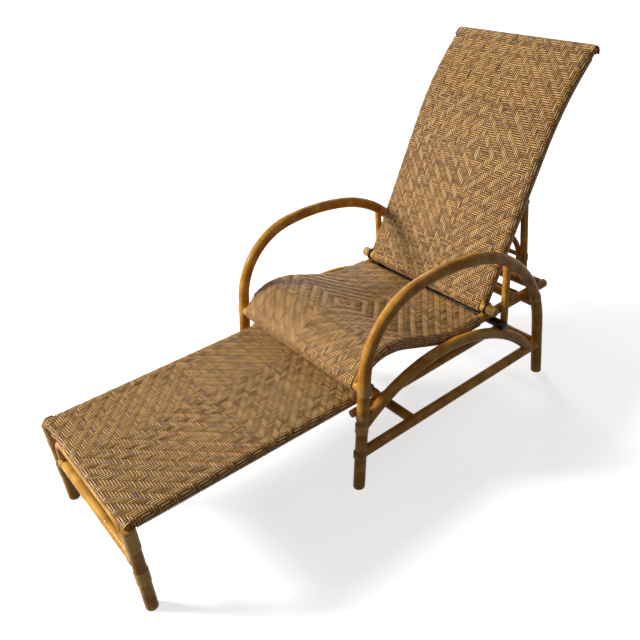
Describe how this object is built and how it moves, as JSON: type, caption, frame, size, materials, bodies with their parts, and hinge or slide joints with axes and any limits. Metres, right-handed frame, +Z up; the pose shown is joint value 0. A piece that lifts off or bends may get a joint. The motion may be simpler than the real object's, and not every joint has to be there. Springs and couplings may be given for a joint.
{
  "type": "lounge chair",
  "caption": "Rattan lounge chair with bent-pole arms, a woven curved seat, a folding back held by a swinging rear prop, and a woven footrest that slides out on its own legs.",
  "frame": {"origin": "on the floor, under the middle of the chair's box with the footrest pulled out", "axes": "+X to the sitter's left, +Y from the footrest towards the back, +Z up"},
  "size_m": [0.601, 1.605, 0.9784],
  "materials": {
    "rattan_pole": "lacquered honey-brown rattan",
    "woven_cane": "split cane in a diamond twill, with a low sheen",
    "cane_binding": "wound split cane",
    "black_steel": "black painted flat steel"
  },
  "bodies": {
    "chair_frame": {"arch_brace_left": "rattan_pole", "arch_brace_right": "rattan_pole", "brace_lashings": "cane_binding", "cross_stretcher": "rattan_pole", "footrest_runner_left": "rattan_pole", "footrest_runner_right": "rattan_pole", "front_stop_rod": "rattan_pole", "hinge_lug_left": "black_steel", "hinge_lug_right": "black_steel", "lower_stretcher_left": "rattan_pole", "lower_stretcher_right": "rattan_pole", "rail_lashings": "cane_binding", "rail_upright_left": "rattan_pole", "rail_upright_right": "rattan_pole", "rear_cross_rail": "rattan_pole", "rear_low_rail": "rattan_pole", "rear_stop_rod": "rattan_pole", "seat_bearer": "rattan_pole", "seat_front_rail": "rattan_pole", "seat_lashings": "cane_binding", "seat_rail_left": "rattan_pole", "seat_rail_right": "rattan_pole", "seat_rear_rail": "rattan_pole", "seat_slats": "rattan_pole", "seat_weave": "woven_cane", "side_bow_left": "rattan_pole", "side_bow_right": "rattan_pole", "stretcher_lashings": "cane_binding"},
    "back": {"back_rail_left": "rattan_pole", "back_rail_right": "rattan_pole", "back_slats": "rattan_pole", "back_top_rail": "rattan_pole", "back_weave": "woven_cane", "pivot_rod": "rattan_pole", "prop_loops": "cane_binding", "prop_slat": "rattan_pole", "rod_windings": "cane_binding"},
    "prop": {"prop_bow": "rattan_pole", "prop_cross_rod": "rattan_pole", "prop_foot_bar": "rattan_pole", "prop_lashings": "cane_binding", "prop_pole_left": "rattan_pole", "prop_pole_right": "rattan_pole", "prop_top_bar": "rattan_pole"},
    "footrest": {"footrest_bow": "rattan_pole", "footrest_crossbar": "rattan_pole", "footrest_front_rail": "rattan_pole", "footrest_lashings": "cane_binding", "footrest_leg_left": "rattan_pole", "footrest_leg_right": "rattan_pole", "footrest_rail_left": "rattan_pole", "footrest_rail_right": "rattan_pole", "footrest_rear_bar": "rattan_pole", "footrest_slats": "rattan_pole", "footrest_weave": "woven_cane"}
  },
  "joints": [
    {"name": "back_tilt", "type": "hinge", "parent": "chair_frame", "child": "back", "pos_m": [0, 0.37647, 0.32264], "axis": [1, 0, 0], "range_deg": [0, 100]},
    {"name": "prop_swing", "type": "hinge", "parent": "back", "child": "prop", "pos_m": [0, 0.55168, 0.59386], "axis": [1, 0, 0], "range_deg": [-12.5, 0]},
    {"name": "footrest_slide", "type": "slide", "parent": "chair_frame", "child": "footrest", "axis": [0, 1, 0], "range_m": [0, 0.44]}
  ]
}
